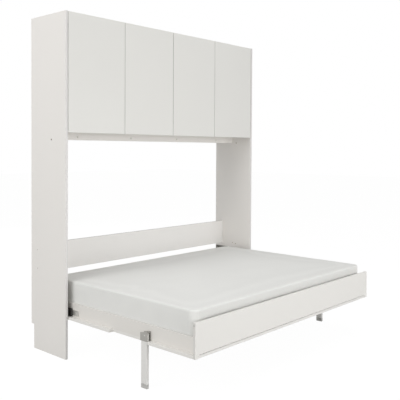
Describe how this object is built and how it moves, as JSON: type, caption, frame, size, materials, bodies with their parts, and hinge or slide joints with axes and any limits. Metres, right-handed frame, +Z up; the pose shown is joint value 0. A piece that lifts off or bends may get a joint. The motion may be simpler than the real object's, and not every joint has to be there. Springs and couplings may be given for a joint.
{
  "type": "cabinet bed",
  "caption": "Side-tilting wall bed in a white board cabinet with a cupboard on top, on folding legs, with mattress, gas springs and hinged doors.",
  "frame": {"origin": "on the floor, under the middle of the whole object with the bed lowered", "axes": "+X along the wall, +Y towards the wall, +Z up"},
  "size_m": [2.13, 1.625, 2.432],
  "materials": {
    "cabinet_board": "white melamine faced board, satin",
    "door_board": "white melamine faced board, satin",
    "bed_board": "white melamine faced board, satin",
    "slat_wood": "clear lacquered laminated wood",
    "mattress_cover": "knitted white cover",
    "dark_steel": "grey painted steel",
    "zinc_steel": "zinc plated steel",
    "leg_paint": "silver grey powder coat",
    "foot_plastic": "grey plastic",
    "black_plastic": "black plastic, fine grain",
    "white_plastic": "white plastic",
    "buffer_rubber": "soft translucent white rubber",
    "tube_paint": "black painted steel",
    "rod_chrome": "polished steel"
  },
  "bodies": {
    "cabinet": {"left_side_panel": "cabinet_board", "right_side_panel": "cabinet_board", "cupboard_top": "cabinet_board", "cupboard_floor": "cabinet_board", "cupboard_back": "cabinet_board", "cupboard_divider": "cabinet_board", "left_shelf": "cabinet_board", "right_shelf": "cabinet_board", "shelf_pins": "zinc_steel", "stop_rail": "cabinet_board", "stop_bumpers": "buffer_rubber", "rear_board": "cabinet_board", "wall_brackets": "zinc_steel", "panel_screws": "zinc_steel", "door_hinge_arms": "zinc_steel", "left_pivot_plate": "dark_steel", "right_pivot_plate": "dark_steel", "left_spring_bracket": "dark_steel", "right_spring_bracket": "dark_steel"},
    "bed": {"decor_panel": "bed_board", "front_board": "bed_board", "end_glides": "foot_plastic", "left_side_board": "bed_board", "right_side_board": "bed_board", "tail_board": "bed_board", "slat_ledgers": "slat_wood", "centre_beam": "slat_wood", "slats": "slat_wood", "slat_holders": "black_plastic", "corner_angles": "zinc_steel", "mattress": "mattress_cover", "left_bed_arm": "zinc_steel", "right_bed_arm": "zinc_steel", "left_arm_cover": "black_plastic", "right_arm_cover": "black_plastic", "arm_screws": "zinc_steel", "left_leg_bracket": "dark_steel", "right_leg_bracket": "dark_steel", "leg_pins": "zinc_steel", "left_bolt_housing": "white_plastic", "right_bolt_housing": "white_plastic"},
    "door_1": {"door_1": "door_board", "door_1_pins": "zinc_steel"},
    "door_2": {"door_2": "door_board", "door_2_pins": "zinc_steel"},
    "door_3": {"door_3": "door_board", "door_3_pins": "zinc_steel"},
    "door_4": {"door_4": "door_board", "door_4_pins": "zinc_steel"},
    "left_leg": {"left_leg": "leg_paint", "left_leg_foot": "foot_plastic"},
    "left_bolt": {"left_closing_bolt": "zinc_steel"},
    "left_spring_tube": {"left_spring_tube": "tube_paint"},
    "left_spring_rod": {"left_spring_rod": "rod_chrome"},
    "right_leg": {"right_leg": "leg_paint", "right_leg_foot": "foot_plastic"},
    "right_bolt": {"right_closing_bolt": "zinc_steel"},
    "right_spring_tube": {"right_spring_tube": "tube_paint"},
    "right_spring_rod": {"right_spring_rod": "rod_chrome"}
  },
  "joints": [
    {"name": "bed_tilt", "type": "hinge", "parent": "cabinet", "child": "bed", "pos_m": [0, 0.4355, 0.326], "axis": [-1, 0, 0], "range_deg": [0, 90]},
    {"name": "left_leg_fold", "type": "hinge", "parent": "bed", "child": "left_leg", "pos_m": [-1.029, -0.3895, 0.33], "axis": [1, 0, 0], "range_deg": [0, 90]},
    {"name": "right_leg_fold", "type": "hinge", "parent": "bed", "child": "right_leg", "pos_m": [1.029, -0.3895, 0.33], "axis": [1, 0, 0], "range_deg": [0, 90]},
    {"name": "left_spring_swing", "type": "hinge", "parent": "cabinet", "child": "left_spring_tube", "pos_m": [-1.032, 0.6495, 0.515], "axis": [-1, 0, 0], "range_deg": [0, 5.22]},
    {"name": "left_spring_stroke", "type": "slide", "parent": "left_spring_tube", "child": "left_spring_rod", "axis": [0, -0.5231, -0.8523], "range_m": [0, 0.1367]},
    {"name": "right_spring_swing", "type": "hinge", "parent": "cabinet", "child": "right_spring_tube", "pos_m": [1.032, 0.6495, 0.515], "axis": [-1, 0, 0], "range_deg": [0, 5.22]},
    {"name": "right_spring_stroke", "type": "slide", "parent": "right_spring_tube", "child": "right_spring_rod", "axis": [0, -0.5231, -0.8523], "range_m": [0, 0.1367]},
    {"name": "door_1_swing", "type": "hinge", "parent": "cabinet", "child": "door_1", "pos_m": [-1.0385, 0.392, 2.0095], "axis": [0, 0, -1], "range_deg": [0, 100]},
    {"name": "door_2_swing", "type": "hinge", "parent": "cabinet", "child": "door_2", "pos_m": [-0.006, 0.392, 2.0095], "axis": [0, 0, 1], "range_deg": [0, 90]},
    {"name": "door_3_swing", "type": "hinge", "parent": "cabinet", "child": "door_3", "pos_m": [0.006, 0.392, 2.0095], "axis": [0, 0, -1], "range_deg": [0, 90]},
    {"name": "door_4_swing", "type": "hinge", "parent": "cabinet", "child": "door_4", "pos_m": [1.0385, 0.392, 2.0095], "axis": [0, 0, 1], "range_deg": [0, 100]},
    {"name": "left_bolt_slide", "type": "slide", "parent": "bed", "child": "left_bolt", "axis": [-1, 0, 0], "range_m": [0, 0.032]},
    {"name": "right_bolt_slide", "type": "slide", "parent": "bed", "child": "right_bolt", "axis": [1, 0, 0], "range_m": [0, 0.032]}
  ],
  "couplings": [
    {"joint": "left_leg_fold", "follows": "bed_tilt", "ratio": 1},
    {"joint": "right_leg_fold", "follows": "bed_tilt", "ratio": 1},
    {"joint": "left_spring_swing", "follows": "bed_tilt", "ratio": 0.05745},
    {"joint": "left_spring_stroke", "follows": "bed_tilt", "m_per_rad": 0.08673},
    {"joint": "right_spring_swing", "follows": "bed_tilt", "ratio": 0.05745},
    {"joint": "right_spring_stroke", "follows": "bed_tilt", "m_per_rad": 0.08673}
  ]
}
